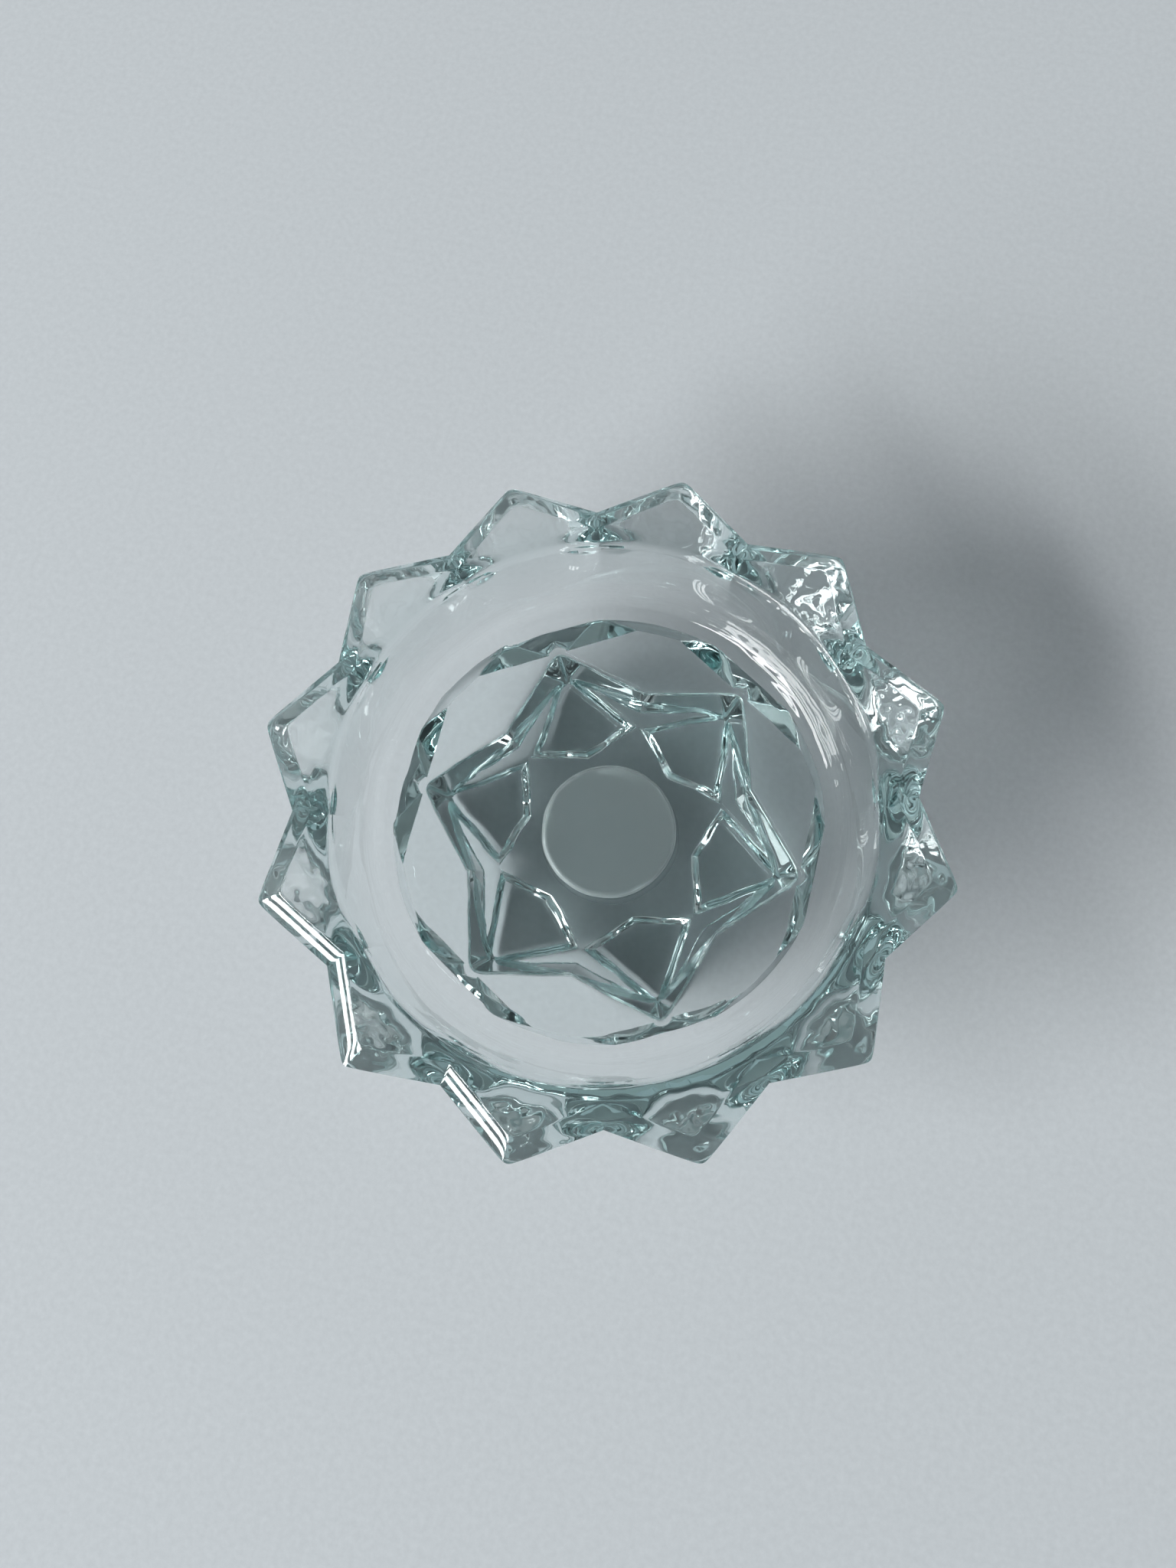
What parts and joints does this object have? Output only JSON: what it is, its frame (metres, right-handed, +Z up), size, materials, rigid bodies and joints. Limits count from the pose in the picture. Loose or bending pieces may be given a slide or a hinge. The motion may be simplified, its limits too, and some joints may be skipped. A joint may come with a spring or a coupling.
{
  "type": "candle holder",
  "caption": "Reversible pressed-glass candle holder: a round cup inside a star-pointed rim, on a star-shaped foot with a taper socket underneath.",
  "frame": {"origin": "on the body's axis, in the plane of the foot's six flat pads", "axes": "+Z up along the body's axis through the cup's mouth; +X through one point of the foot and one point of the rim"},
  "size_m": [0.1, 0.1, 0.037],
  "materials": {
    "clear_glass": "fire-polished pressed glass, clear with a faint sea-green cast"
  },
  "bodies": {
    "root": {"glass_body": "clear_glass"}
  },
  "joints": []
}
